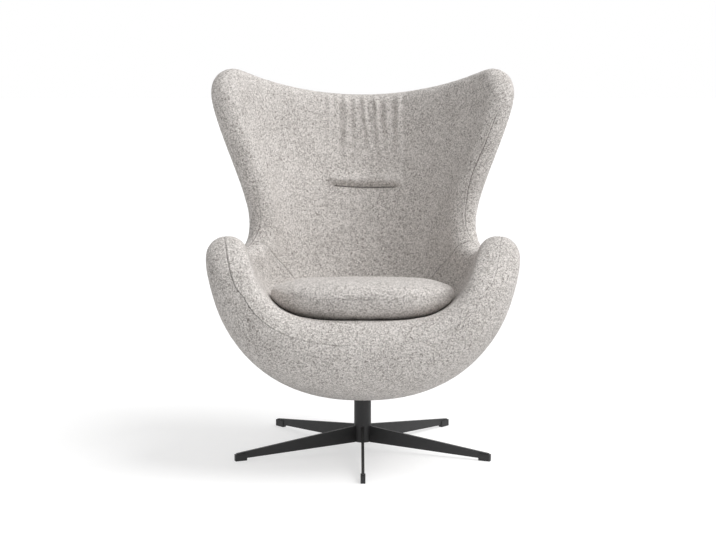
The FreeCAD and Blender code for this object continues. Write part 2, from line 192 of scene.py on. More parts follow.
def makeSeamGroup():
    # two pairs of attributes say how far a seam is and how plainly it shows: a thin line of painted shade in
    # the colour, pulled in
    tree, given, end = newGroup("seamLine", "ShaderNodeTree",
                                [("Line Width", "Float", 0.0012), ("Seam Shade", "Float", 0.7),
                                 ("Color", "Color", None), ("Height", "Float", 0.0)],
                                [("Color", "Color"), ("Height", "Float")])
    lines = []
    for gapName, showName in (("seamDistance", "seamStrength"), ("sideDistance", "sideStrength")):
        gap = place(tree, "ShaderNodeAttribute", attribute_name=gapName).outputs["Fac"]
        plain = place(tree, "ShaderNodeAttribute", attribute_name=showName).outputs["Fac"]
        share = calc(tree, "DIVIDE", gap, given["Line Width"])
        fall = calc(tree, "EXPONENT", calc(tree, "MULTIPLY", calc(tree, "MULTIPLY", share, share), -1.0))
        lines.append(calc(tree, "MULTIPLY", fall, plain))
    line = calc(tree, "MAXIMUM", *lines)
    # the seam's line is painted shade, mixed into the colour
    seamShade = calc(tree, "MULTIPLY", line, given["Seam Shade"])
    feed(tree, end, {"Color": mixColors(tree, seamShade, given["Color"], seamShadow),
                     "Height": calc(tree, "SUBTRACT", given["Height"], line)})
    return tree


grainShape = {
    "waveDensity": 40.0, "waveHeight": 0.5,
    "middle": 0.75, "wear": 0.8,            # where the worn colour starts, and how soon it is full
    "roughnessSwing": 0.25,
}


def makeGrainGroup(shape):
    # fine grain of a coating or a moulded surface, with faint larger unevenness
    tree, given, end = newGroup("fineGrain", "ShaderNodeTree",
                                [("Base", "Color", None), ("Worn", "Color", None),
                                 ("Grain Size", "Float", 0.0006), ("Roughness", "Float", 0.5),
                                 ("Stretch", "Vector", (1.0, 1.0, 1.0))],
                                [("Color", "Color"), ("Roughness", "Float"), ("Height", "Float")])
    spot = place(tree, "ShaderNodeTexCoord").outputs["Object"]
    stretched = vectorCalc(tree, "MULTIPLY", spot, given["Stretch"])
    grain = noiseAt(tree, stretched, calc(tree, "DIVIDE", 1.0, given["Grain Size"]), 3.0, 0.6)[0]
    wave = noiseAt(tree, spot, shape["waveDensity"], 4.0)[0]
    above = calc(tree, "SUBTRACT", calc(tree, "ADD", grain, wave), shape["middle"])
    wear = calc(tree, "MULTIPLY", above, shape["wear"])
    uneven = calc(tree, "MULTIPLY", calc(tree, "SUBTRACT", wave, 0.5), shape["roughnessSwing"])
    feed(tree, end, {"Color": mixColors(tree, wear, given["Base"], given["Worn"]),
                     "Roughness": calc(tree, "ADD", given["Roughness"], uneven),
                     "Height": calc(tree, "MULTIPLY_ADD", wave, shape["waveHeight"], grain)})
    return tree


boucleGroup = makeBoucleGroup(yarnLoops)
seamGroup = makeSeamGroup()
grainGroup = makeGrainGroup(grainShape)


def newMaterial(name):
    material = bpy.data.materials.new(name)
    material.use_nodes = True
    return material, material.node_tree, material.node_tree.nodes["Principled BSDF"]


fabricLook = {
    "lightYarn": (238, 233, 229),
    "darkYarnAndGapShade": (128, 122, 117),
    "loopSize": 0.0033,
    "contrast": 1.5,
    "bump": 0.6,
    "bumpDepth": 0.0015,
    "roughness": 0.95,
    "specular": 0.2,
    "sheen": 0.1,
    "sheenRoughness": 0.7,
}


def makeFabric(name, look):
    material, tree, shader = newMaterial(name)
    loops = place(tree, "ShaderNodeGroup", {"Light Yarn": srgb(*look["lightYarn"]),
                                            "Dark Yarn And Gap Shade": srgb(*look["darkYarnAndGapShade"]),
                                            "Loop Size": look["loopSize"],
                                            "Contrast": look["contrast"]}, node_tree=boucleGroup)
    seams = place(tree, "ShaderNodeGroup", {"Color": loops.outputs["Color"],
                                            "Height": loops.outputs["Height"]}, node_tree=seamGroup)
    bump = place(tree, "ShaderNodeBump", {"Height": seams.outputs["Height"], "Strength": look["bump"],
                                          "Distance": look["bumpDepth"]})
    feed(tree, shader, {"Base Color": seams.outputs["Color"], "Normal": bump.outputs[0],
                        "Roughness": look["roughness"], "Specular IOR Level": look["specular"],
                        "Sheen Weight": look["sheen"], "Sheen Roughness": look["sheenRoughness"]})
    return material


def makeGrained(name, base, worn, grainSize, roughness, bump, metallic=0.0, stretch=(1, 1, 1)):
    material, tree, shader = newMaterial(name)
    grain = place(tree, "ShaderNodeGroup", {"Base": srgb(*base), "Worn": srgb(*worn),
                                            "Grain Size": grainSize, "Roughness": roughness,
                                            "Stretch": stretch}, node_tree=grainGroup)
    bumped = place(tree, "ShaderNodeBump", {"Height": grain.outputs["Height"], "Strength": bump,
                                            "Distance": grainSize})
    feed(tree, shader, {"Base Color": grain.outputs["Color"], "Roughness": grain.outputs["Roughness"],
                        "Normal": bumped.outputs[0], "Metallic": metallic})
    return material


coverFabric = makeFabric("coverBoucle", fabricLook)
powderCoat = makeGrained("powderCoat", (36, 36, 37), (52, 52, 53), 0.0007, 0.52, 0.25)
zincSteel = makeGrained("zincPlatedSteel", (168, 170, 172), (128, 130, 133), 0.0004, 0.34, 0.15,
                        metallic=1.0, stretch=(1, 1, 0.08))
blackPlastic = makeGrained("blackMouldedPlastic", (30, 30, 31), (44, 44, 45), 0.0005, 0.48, 0.15)
naturalNylon = makeGrained("naturalNylon", (222, 219, 208), (206, 202, 188), 0.0008, 0.42, 0.1)
glassShell = makeGrained("glassFibreShell", (150, 154, 142), (182, 184, 170), 0.003, 0.35, 0.4,
                         stretch=(1, 1, 6))
mouldedBlock = makeGrained("mouldedBlock", (92, 88, 82), (118, 112, 104), 0.0016, 0.8, 0.4)
cutFoam = makeGrained("cutFoam", (232, 222, 186), (208, 194, 150), 0.0012, 0.92, 0.8)
sewingThread = makeGrained("sewingThread", (112, 107, 102), (86, 81, 77), 0.0004, 0.7, 0.5)
zipWeave = makeGrained("zipTapeWeave", (128, 122, 116), (98, 93, 88), 0.0007, 0.85, 0.8)
print("materials made")


# The shell's form: ribs from the front lip to the top of the back, in metres and degrees

shellForm = {
    "ribPlaces": [0.0, 0.10, 0.22, 0.36, 0.50, 0.60, 0.72, 0.86, 1.0],
    "middleY": [-0.395, -0.3219, -0.1999, -0.0300, 0.1201, 0.1999, 0.2560, 0.3113, 0.3630],
    "middleZ": [0.3704, 0.3280, 0.2857, 0.2660, 0.3024, 0.4196, 0.5703, 0.7703, 0.985],
    "thickness": [0.1537, 0.1844, 0.2050, 0.210, 0.1793, 0.1434, 0.1210, 0.1075, 0.0922],
    "halfWidth": [0.3287, 0.3599, 0.3691, 0.3636, 0.3339, 0.3013, 0.2912, 0.3562, 0.4241],
    "rise": [0.2301, 0.3002, 0.3398, 0.3312, 0.3191, 0.2639, 0.2553, 0.3174, 0.3940],
    "rim": [0.0500, 0.0530, 0.054, 0.0519, 0.0470, 0.0410, 0.0380, 0.0380, 0.0360],
    "lean": [-16.0, -12.0, -4.0, 12.0, 33.0, 50.0, 65.0, 72.0, 72.0],
    "curl": [86.0, 86.0, 86.0, 86.0, 86.0, 84.0, 80.0, 68.0, 52.0],
    "flatness": [1.30, 1.29, 1.25, 1.16, 1.05, 1.0, 1.0, 1.0, 1.0],
    "frontNose": 0.060, "topNose": 0.040,       # how far the rounded ends reach along the middle
    "frontCorner": 0.110, "topCorner": 0.165,   # corner radii seen flat
    "noseSteps": 4, "rimSteps": 4, "bodyColumns": 8, "runRows": 12,
    # how finely the middle line and the ribs are measured, and the step that gives a rib's direction
    "runSamples": 3001, "ribSamples": 1201, "ribStep": 5e-4,
}


def splineThrough(places, values, at):
    # smooth curve through values (first axis), its end slopes taken from the four outer points
    x = np.asarray(places, float)
    y = np.asarray(values, float)
    flat = y.reshape(len(x), -1)
    step = np.diff(x)
    rows = np.zeros((len(x), len(x)))
    right = np.zeros_like(flat)
    slope = np.diff(flat, axis=0) / step[:, None]
    for i in range(1, len(x) - 1):
        rows[i, i - 1:i + 2] = step[i], 2 * (step[i - 1] + step[i]), step[i - 1]
        right[i] = 3 * (step[i] * slope[i - 1] + step[i - 1] * slope[i])
    for i, part in ((0, slice(0, 4)), (-1, slice(-4, None))):
        rows[i, i] = 1.0
        right[i] = np.polyfit(x[part] - x[i], flat[part], 3)[2]
    tangents = np.linalg.solve(rows, right)
    spots = np.clip(np.searchsorted(x, at, side="right") - 1, 0, len(step) - 1)
    h = step[spots][:, None]
    t = ((np.asarray(at) - x[spots])[:, None]) / h
    result = ((1 + 2 * t) * (1 - t) ** 2 * flat[spots] + t * (1 - t) ** 2 * h * tangents[spots]
              + t * t * (3 - 2 * t) * flat[spots + 1] + t * t * (t - 1) * h * tangents[spots + 1])
    return result.reshape((len(at),) + y.shape[1:])


def runningLengths(points):
    return np.concatenate([[0.0], np.cumsum(np.linalg.norm(np.diff(points, axis=0), axis=1))])


def ribStations(form, total):
    # where the ribs stand along the middle line, and how full each one is: both ends are rounded off
    nose = np.linspace(0, math.pi / 2, form["noseSteps"] + 1)
    front = [(form["frontNose"] * (1 - math.cos(a)), math.sin(a)) for a in nose]
    top = [(total - form["topNose"] * (1 - math.cos(a)), math.sin(a)) for a in nose[::-1]]
    step = (total - form["frontNose"] - form["topNose"]) / form["runRows"]
    return front + [(form["frontNose"] + step * i, 1.0) for i in range(1, form["runRows"])] + top


def cutCorners(form, reach, fromFront, fromTop):
    # a rib's length from the middle to the rim, shorter where a corner of the outline is rounded
    for corner, distance in ((form["frontCorner"], fromFront), (form["topCorner"], fromTop)):
        if distance < corner:
            return reach - corner + math.sqrt(max(0.0, corner ** 2 - (corner - distance) ** 2))
    return reach


def makeRib(form, measures, fullness, fromFront, fromTop):
    # points from the middle to the right rim, on the inner and on the outer face
    y, z, thick, width, rise, rim, lean, curl, flat = measures
    lean, curl = math.radians(lean), math.radians(curl)
    angles = np.linspace(0, curl, form["ribSamples"])
    middle = np.stack([width * np.sin(angles) / math.sin(curl),
                       rise * ((1 - np.cos(angles)) / (1 - math.cos(curl))) ** flat], axis=1)
    reaches = runningLengths(middle)
    reach = cutCorners(form, reaches[-1], fromFront, fromTop)
    body = [((reach - rim) * i / form["bodyColumns"], 1.0) for i in range(form["bodyColumns"] + 1)]
    caps = np.linspace(0, math.pi / 2, form["rimSteps"] + 1)[1:]
    inner, outer = [], []
    for distance, roundness in body + [(reach - rim + rim * math.sin(a), math.cos(a)) for a in caps]:
        nearby = (max(0.0, distance - form["ribStep"]), distance, distance + form["ribStep"])
        behind, spot, ahead = (np.array([np.interp(d, reaches, middle[:, k]) for k in (0, 1)])
                               for d in nearby)
        run = (ahead - behind) / np.linalg.norm(ahead - behind)
        bulge = (1 - min(1.0, distance / reach) ** 2) ** 2
        half = (rim + (thick / 2 - rim) * bulge) * roundness * fullness
        for side, points in ((half, inner), (-half, outer)):
            across, up = spot + np.array([-run[1], run[0]]) * side
            points.append([across, y - math.sin(lean) * up, z + math.cos(lean) * up])
    return inner, outer


def shellNet(form):
    # inner and outer net of points, rib by rib, each from the left rim to the right one
    keys = ("middleY", "middleZ", "thickness", "halfWidth", "rise", "rim", "lean", "curl", "flatness")
    table = np.array([form[key] for key in keys]).T
    dense = np.linspace(0, 1, form["runSamples"])
    lengths = runningLengths(splineThrough(form["ribPlaces"], table[:, :2], dense))
    innerNet, outerNet = [], []
    for along, fullness in ribStations(form, lengths[-1]):
        share = np.interp(along, lengths, dense)
        measures = splineThrough(form["ribPlaces"], table, [share])[0]
        rib = makeRib(form, measures, fullness, along, lengths[-1] - along)
        for points, net in zip(rib, (innerNet, outerNet)):
            net.append([[-x, y, z] for x, y, z in points[:0:-1]] + points)
    return np.array(innerNet), np.array(outerNet)


innerNet, outerNet = shellNet(shellForm)
acrossPlaces = runningLengths(outerNet[len(outerNet) // 2])
alongPlaces = runningLengths(outerNet[:, outerNet.shape[1] // 2])


coverMesh = {
    # cells across, in the middle and at the sides, how far the middle reaches, and rows along
    "cells": (0.0037, 0.0052), "foldsReach": 0.14, "rowCell": 0.0047, "runSamples": 4000,
    "nearSeam": [0.0, 0.0009, 0.002, 0.0034, 0.0052, 0.0072, 0.0092, 0.0112, 0.0131, 0.0149, 0.0166, 0.0183,
                 0.02, 0.0217, 0.0237, 0.0262],
    "holeRadius": 0.0285, "holeBelow": 0.2,     # the hole for the column, in the underside only
    "loopHeight": 0.0006, "loopSpan": 0.0090, "loopFade": 0.01,
}


def bell(values, width):
    return np.exp(-(np.asarray(values) / width) ** 2)


def placesAlong(length, cells, middle=0.0):
    # places along a run: closely spaced near both ends, where the seam is, and finer around the middle
    edge = np.array(coverMesh["nearSeam"])
    run = np.linspace(edge[-1], length - edge[-1], coverMesh["runSamples"])
    cell = np.where(np.abs(run - length / 2) < middle, cells[0], cells[1])
    passed = np.concatenate([[0.0], np.cumsum(np.diff(run) / cell[1:])])
    even = np.interp(np.linspace(0, passed[-1], int(round(passed[-1])) + 1), passed, run)
    return np.concatenate([edge, even[1:-1], length - edge[::-1]])


def surfaceGrid(net, across, along):
    crossed = splineThrough(acrossPlaces, net.transpose(1, 0, 2), across)
    return splineThrough(alongPlaces, crossed.transpose(1, 0, 2), along)


def gridNormals(grid, side):
    # side is 1 where the face looks at the sitter and -1 where it looks away
    crossed = np.cross(np.gradient(grid, axis=1), np.gradient(grid, axis=0))
    size = np.linalg.norm(crossed, axis=2, keepdims=True)
    return crossed / np.maximum(size, 1e-12) * side


tuck = {
    "centre": 0.0074, "halfWidth": 0.0865, "height": 0.7253, "slope": -0.019, "sag": 0.0045,
    # the groove: depth, widths above and below, fade past the ends, and how plainly its line of painted
    # shade shows
    "depth": 0.0056, "grooveAbove": 0.0080, "grooveBelow": 0.0024, "grooveEnd": 0.006, "shows": 0.75,
    "puff": 0.0080, "puffPlace": 0.020, "puffSpan": 0.015, "puffStart": 0.004, "puffEnd": 0.016,
    "pillow": 0.0035, "pillowSpan": 0.055, "pillowStart": 0.012,
    # rows of points beside the line, how near they let another row come, and where the back begins
    "rowGap": 0.0009, "rows": 10, "rowClearance": 0.4, "backFrom": 0.15, "runSamples": 600,
    # folds from the top edge down: place, steepness, length, drift over that length, width
    "folds": [(-0.116, 0.35, 0.100, 0.000, 0.0060), (-0.097, 0.70, 0.160, 0.000, 0.0065),
              (-0.0745, 0.35, 0.110, 0.000, 0.0060), (-0.0475, 0.85, 0.200, 0.000, 0.0095),
              (-0.0225, 0.60, 0.150, 0.000, 0.0070), (0.0022, 0.95, 0.170, 0.016, 0.0055),
              (0.0195, 0.35, 0.100, 0.008, 0.0055), (0.0375, 1.05, 0.160, 0.010, 0.0060),
              (0.054, 0.30, 0.110, 0.004, 0.0055), (0.0705, 0.65, 0.150, 0.004, 0.0080),
              (0.087, 0.30, 0.110, 0.002, 0.0055), (0.1055, 0.70, 0.180, 0.000, 0.0080),
              (0.126, 0.30, 0.090, 0.000, 0.0060)],
    # a fold's height for its width, and the hollow on either side of it, as shares of its width
    "foldSlope": 0.9, "valley": 0.6, "valleyPlace": 1.9, "valleyWidth": 0.9,
    # the folds start below the rim, reach their full height after this run and fade past their length
    "foldStart": 0.013, "foldRise": 0.080, "foldFade": 1.15, "driftLimit": 1.4,
    "waver": 0.0012, "waverPace": 95, "waverShift": 160,
}


def tuckLine(x):
    away = np.clip((x - tuck["centre"]) / tuck["halfWidth"], -1, 1)
    return tuck["height"] + tuck["slope"] * away * tuck["halfWidth"] - tuck["sag"] * (1 - away ** 2)


def rowsForTuck():
    # extra rows close together where the tuck is, so that its line is sharp
    places = np.linspace(0, alongPlaces[-1], tuck["runSamples"])
    middle = surfaceGrid(innerNet, [acrossPlaces[-1] / 2], places)[:, 0]
    upper = middle[:, 1] > tuck["backFrom"]
    centre = np.interp(tuckLine(0.0), middle[upper, 2], places[upper])
    return centre + tuck["rowGap"] * np.arange(-tuck["rows"], tuck["rows"] + 1)


lip = {
    # the front lip gives under the cushion: its crest against the distance from the middle,
    # and how far it sinks
    "across": [0.0, 0.09, 0.146, 0.20, 0.24, 0.28, 0.33],
    "crestY": [-0.325, -0.325, -0.320, -0.312, -0.296, -0.275, -0.250],
    "crestZ": [0.426, 0.427, 0.434, 0.452, 0.479, 0.515, 0.560],
    "drops": [0.004, 0.0045, 0.006, 0.0095, 0.0115, 0.006, 0.0],
    "span": 0.048,
}


def lipDrop(grid):
    away = np.abs(grid[..., 0])
    gapY = grid[..., 1] - np.interp(away, lip["across"], lip["crestY"])
    gapZ = grid[..., 2] - np.interp(away, lip["across"], lip["crestZ"])
    return np.interp(away, lip["across"], lip["drops"]) * bell(np.hypot(gapY, gapZ), lip["span"])


fineAcross = placesAlong(acrossPlaces[-1], coverMesh["cells"], coverMesh["foldsReach"])
fineAlong = placesAlong(alongPlaces[-1], [coverMesh["rowCell"]] * 2)
tuckRows = rowsForTuck()
tuckGaps = np.abs(fineAlong[:, None] - tuckRows[None]).min(axis=1)
apart = tuckGaps > coverMesh["rowCell"] * tuck["rowClearance"]
fineAlong = np.sort(np.concatenate([fineAlong[apart], tuckRows]))
innerGrid = surfaceGrid(innerNet, fineAcross, fineAlong)
outerGrid = surfaceGrid(outerNet, fineAcross, fineAlong)
for grid in (innerGrid, outerGrid):
    grid[..., 2] -= lipDrop(grid)
innerNormals = gridNormals(innerGrid, 1)
outerNormals = gridNormals(outerGrid, -1)

# both covers end on the same line along the rim, with the same normals there
for edge in ((0, slice(None)), (-1, slice(None)), (slice(None), 0), (slice(None), -1)):
    both = innerNormals[edge] + outerNormals[edge]
    both = both / np.maximum(np.linalg.norm(both, axis=-1, keepdims=True), 1e-9)
    innerNormals[edge] = outerNormals[edge] = both
    innerGrid[edge] = outerGrid[edge] = (innerGrid[edge] + outerGrid[edge]) / 2
print("shell form made", innerGrid.shape)


def distanceToEdge(grid):
    gaps = []
    for axis in (0, 1):
        steps = np.linalg.norm(np.diff(grid, axis=axis), axis=2)
        zero = np.zeros_like(steps.take([0], axis=axis))
        forward = np.concatenate([zero, np.cumsum(steps, axis=axis)], axis=axis)
        gaps += [forward, forward.max(axis=axis, keepdims=True) - forward]
    return np.minimum.reduce(gaps)


def nearestOnLine(points, line):
    # for each point the number of the line's nearest spot, and the distance to it
    tree = KDTree(len(line))
    for i, spot in enumerate(line):
        tree.insert(Vector(spot), i)
    tree.balance()
    return np.array([tree.find(Vector(p))[1:] for p in points])


def distanceAcrossLine(points, normals, line):
    # distance to a line on the surface, with a different sign on either side of it
    found = nearestOnLine(points, line)
    index = found[:, 0].astype(int)
    sideways = np.cross(normals, np.gradient(line, axis=0)[index])
    return found[:, 1] * np.where(((points - line[index]) * sideways).sum(axis=1) < 0, -1.0, 1.0)


def loopBumps(points, edge):
    # coarse unevenness of the looped yarn, kept in the mesh so that outlines are not smooth;
    # it fades out at the seam
    scale = 1.0 / coverMesh["loopSpan"]
    bumps = np.array([noise.noise(Vector((p[0] * scale, p[1] * scale, p[2] * scale))) for p in points])
    return bumps * coverMesh["loopHeight"] * np.clip(np.abs(edge) / coverMesh["loopFade"], 0, 1)


rimSeam = {
    "depth": 0.0013, "width": 0.0017,
    "weltHeight": 0.0017, "weltPlace": 0.0046, "weltWidth": 0.0021, "outerWelt": 0.3,
    # how plainly the seam shows on the left and on the right, against the height above the floor; the two
    # sides differ with how the light falls on them, and this sets both the depth of the groove and the
    # painted shade of its line
    "heights": [0.34, 0.38, 0.41, 0.46, 0.51, 0.58, 0.63, 0.70, 0.74, 0.78, 0.86, 0.93, 1.0],
    "leftShows": [0.12, 0.4, 0.7, 1.0, 1.0, 1.0, 0.5, 0.3, 0.2, 0.2, 0.2, 0.15, 0.1],
    "rightShows": [0.12, 0.25, 0.35, 0.45, 0.45, 0.45, 0.6, 0.9, 1.0, 1.0, 1.0, 0.9, 0.1],
    "leftToRight": [-0.05, 0.10],
    # how far it lies from the middle of the rim at the same heights: outward, or inward below zero
    "offsets": [0.0, 0.005, 0.012, 0.018, 0.020, 0.009, 0.0, -0.006, -0.013, -0.017, -0.0145, -0.0145, 0.0],
    "nearness": 0.004,      # a point belongs to the seam that shows most within about this distance
}


def seamShape(distance, shows, welt=1.0, spread=1.0):
    swell = rimSeam["weltHeight"] * welt * bell(distance - rimSeam["weltPlace"], rimSeam["weltWidth"])
    return shows * (swell - rimSeam["depth"] * bell(distance, rimSeam["width"] * spread))


# how plainly the rim seam shows here: the depth of its groove and the painted shade of its line
def seamShows(points):
    aside = np.interp(points[:, 0], rimSeam["leftToRight"], [0.0, 1.0])
    left, right = (np.interp(points[:, 2], rimSeam["heights"], rimSeam[key])
                   for key in ("leftShows", "rightShows"))
    return left + (right - left) * aside


def seamOffset(points):
    return np.interp(points[:, 2], rimSeam["heights"], rimSeam["offsets"])


def fromTuck(points):
    # height above the tuck's line, and distance past its ends
    x = points[:, 0]
    return points[:, 2] - tuckLine(x), np.maximum(0.0, np.abs(x - tuck["centre"]) - tuck["halfWidth"])


def tuckGap(points):
    # distance from the tuck's line, large on the front half of the cover
    return np.where(points[:, 1] > 0, np.hypot(*fromTuck(points)), 1.0)


def tuckShape(points):
    # pulled-in line with the padding puffed up above it
    above, beyond = fromTuck(points)
    groove = -tuck["depth"] * bell(above, np.where(above > 0, tuck["grooveAbove"], tuck["grooveBelow"]))
    puff = tuck["puff"] * bell(above - tuck["puffPlace"], tuck["puffSpan"])
    puff = puff * np.clip(above / tuck["puffStart"], 0, 1)
    pillow = tuck["pillow"] * np.clip(above / tuck["pillowStart"], 0, 1) * bell(above, tuck["pillowSpan"])
    raised = groove * bell(beyond, tuck["grooveEnd"]) + (puff + pillow) * bell(beyond, tuck["puffEnd"])
    return np.where(points[:, 1] > 0, raised, 0.0)


def foldShape(points, fromTop):
    x, y = points[:, 0], points[:, 1]
    total = np.zeros(len(points))
    for spot, steepness, length, drift, width in tuck["folds"]:
        share = np.clip(fromTop / length, 0, tuck["driftLimit"])
        waver = tuck["waver"] * np.sin(fromTop * tuck["waverPace"] + spot * tuck["waverShift"])
        centre = spot + drift * share ** 2 + waver
        fade = np.exp(-(share / tuck["foldFade"]) ** 4)
        valley = bell(np.abs(x - centre) - tuck["valleyPlace"] * width, tuck["valleyWidth"] * width)
        total += steepness * width * fade * (bell(x - centre, width) - tuck["valley"] * valley)
    rim = np.clip((fromTop - tuck["foldStart"]) / tuck["foldRise"], 0, 1)
    return np.where(y > 0, total * tuck["foldSlope"] * rim * rim * (3 - 2 * rim), 0.0)


armSwell = {
    # the arms swell towards the seat below the wings: height, distance from the rim and reach,
    # and its share against the height above the floor and against the depth
    "height": 0.005, "place": 0.035, "span": 0.034, "rimSpan": 0.012,
    "heights": [0.44, 0.54, 0.60, 0.68], "depths": [-0.30, -0.18, -0.06, 0.03],
    "shares": [0.0, 1.0, 1.0, 0.0],
}


def armShape(points, rim):
    # none at the rim itself, which both covers share
    level = np.interp(points[:, 2], armSwell["heights"], armSwell["shares"])
    level = level * np.interp(points[:, 1], armSwell["depths"], armSwell["shares"])
    level = level * (1 - bell(rim, armSwell["rimSpan"]))
    return armSwell["height"] * level * bell(rim - armSwell["place"], armSwell["span"])


sideSeam = {
    # seam between the back panel and each side panel of the inner cover, as shares across and along
    "path": [(0.995, 0.572), (0.968, 0.563), (0.94, 0.556), (0.897, 0.555), (0.854, 0.552), (0.816, 0.542),
             (0.785, 0.529), (0.72, 0.505), (0.62, 0.48), (0.5, 0.47)],
    # samples along the seam, its groove, how plainly its line of painted shade shows and how far that
    # reaches, and the swell beside it
    "samples": 400, "depth": 0.0009, "width": 0.003, "shows": 0.7, "reach": 0.012,
    "swell": 0.0007, "swellPlace": 0.006, "swellWidth": 0.004,
}


def gridPath(net, shares, count):
    # points on a face along a path given as shares of its two directions
    shares = splineThrough(np.arange(len(shares)), np.array(shares), np.linspace(0, len(shares) - 1, count))
    return np.array([surfaceGrid(net, [u * acrossPlaces[-1]], [v * alongPlaces[-1]])[0, 0]
                     for u, v in shares])


rightSeam = gridPath(innerNet, sideSeam["path"], sideSeam["samples"])


def gridFaces(shape, flip, keep=None):
    rows, columns = shape[:2]
    index = np.arange(rows * columns).reshape(rows, columns)
    corners = (index[:-1, :-1], index[:-1, 1:], index[1:, 1:], index[1:, :-1])
    quads = np.stack(corners, axis=-1).reshape(-1, 4)
    if flip:
        quads = quads[:, ::-1]
    if keep is not None:
        quads = quads[keep[quads].all(axis=1)]
    return quads


def markSeams(piece, seams):
    # each point carries the distance to the seam that shows most there, and how plainly it shows
    distances = np.array([distance for distance, shows in seams])
    shows = np.array([np.broadcast_to(shows, distances.shape[1:]) for distance, shows in seams])
    nearest = np.argmax(shows * bell(distances, rimSeam["nearness"]), axis=0)
    every = np.arange(distances.shape[1])
    setAttribute(piece, "seamDistance", distances[nearest, every])
    setAttribute(piece, "seamStrength", shows[nearest, every])


def coverStart(grid, normals):
    # points, their normals, distance to the rim, and how plainly the rim seam shows there
    points = grid.reshape(-1, 3)
    return points, normals.reshape(-1, 3), distanceToEdge(grid).reshape(-1), seamShows(points)


def makeInnerCover():
    points, normals, rim, shows = coverStart(innerGrid, innerNormals)
    edge = rim + seamOffset(points)
    mirror = np.where(points[:, :1] < 0, [[-1.0, 1.0, 1.0]], 1.0)
    side = distanceAcrossLine(points * mirror, normals * mirror, rightSeam)
    fromTop = np.repeat(fineAlong[-1] - fineAlong, innerGrid.shape[1])
    shift = seamShape(edge, shows) - sideSeam["depth"] * bell(side, sideSeam["width"])
    shift += sideSeam["swell"] * bell(np.abs(side) - sideSeam["swellPlace"], sideSeam["swellWidth"])
    shift += tuckShape(points) + foldShape(points, fromTop) + armShape(points, rim)
    shift += loopBumps(points, edge)
    cover = meshFrom("innerCover", points + normals * shift[:, None], gridFaces(innerGrid.shape, False))
    # the rim seam and the tuck get a thin line of painted shade in the colour, as plainly as they show
    markSeams(cover, [(edge, shows), (tuckGap(points), tuck["shows"])])
    setAttribute(cover, "sideDistance", side)
    setAttribute(cover, "sideStrength", np.where(np.abs(side) < sideSeam["reach"], sideSeam["shows"], 0.0))
    return cover


def makeOuterCover():
    points, normals, rim, shows = coverStart(outerGrid, outerNormals)
    edge = rim - seamOffset(points)
    welt = np.where(edge > 0, rimSeam["outerWelt"], 1.0)
    shift = seamShape(np.abs(edge), shows, welt) + loopBumps(points, edge)
    points = points + normals * shift[:, None]
    fromColumn = np.hypot(points[:, 0], points[:, 1])
    outside = (points[:, 2] > coverMesh["holeBelow"]) | (fromColumn > coverMesh["holeRadius"])
    cover = meshFrom("outerCover", points, gridFaces(outerGrid.shape, True, outside))
    # the rim seam's line is painted shade in the colour, as plainly as it shows
    markSeams(cover, [(edge, shows)])
    return cover


innerCover = makeInnerCover()
outerCover = makeOuterCover()
for cover in (innerCover, outerCover):
    cover.data.materials.append(coverFabric)
print("covers made", len(innerCover.data.polygons))


# Loose cushion

cushionForm = {
    "centre": (0.0, -0.1051, 0.455), "tilt": 6.0,
    "reaches": [0.2525, 0.2705, 0.270, 0.2505, 0.2485, 0.2300, 0.2215],   # front, then round to the back
    "rise": 0.040, "fullness": 8, "drop": 0.092,
    "cells": 52, "finerLevels": 2, "seatClearance": 0.0022, "clearance": 0.0012,
    # the under side rests on the shell, found from above, or is this low outside it
    "castFrom": 0.7, "lowest": 0.3, "restBlend": 3.6e-5, "searchReach": 0.05,
    # filling: cloth under pressure, with its movement cut off at the cap
    "pressure": 2.2, "pull": -0.012, "cap": 0.007, "frames": 20,
    "quality": 6, "mass": 0.3, "stretch": 25, "shear": 12, "bending": 3,
    # equator seam: points above this weight are on it, and its form beside that of the rim seam
    "onSeam": 0.985, "seamShare": 0.5, "seamWelt": 0.6, "seamSpread": 1.8,
    # how plainly its line of painted shade, with its bump, shows: behind, in front, and more around one
    # place in front
    "showsBehind": 0.4, "showsInFront": 0.12, "showsMore": 0.5, "morePlace": 0.005, "moreSpan": 0.05,
}
shellTree = BVHTree.FromPolygons([tuple(p) for p in innerGrid.reshape(-1, 3)],
                                 [tuple(f) for f in gridFaces(innerGrid.shape, False)])


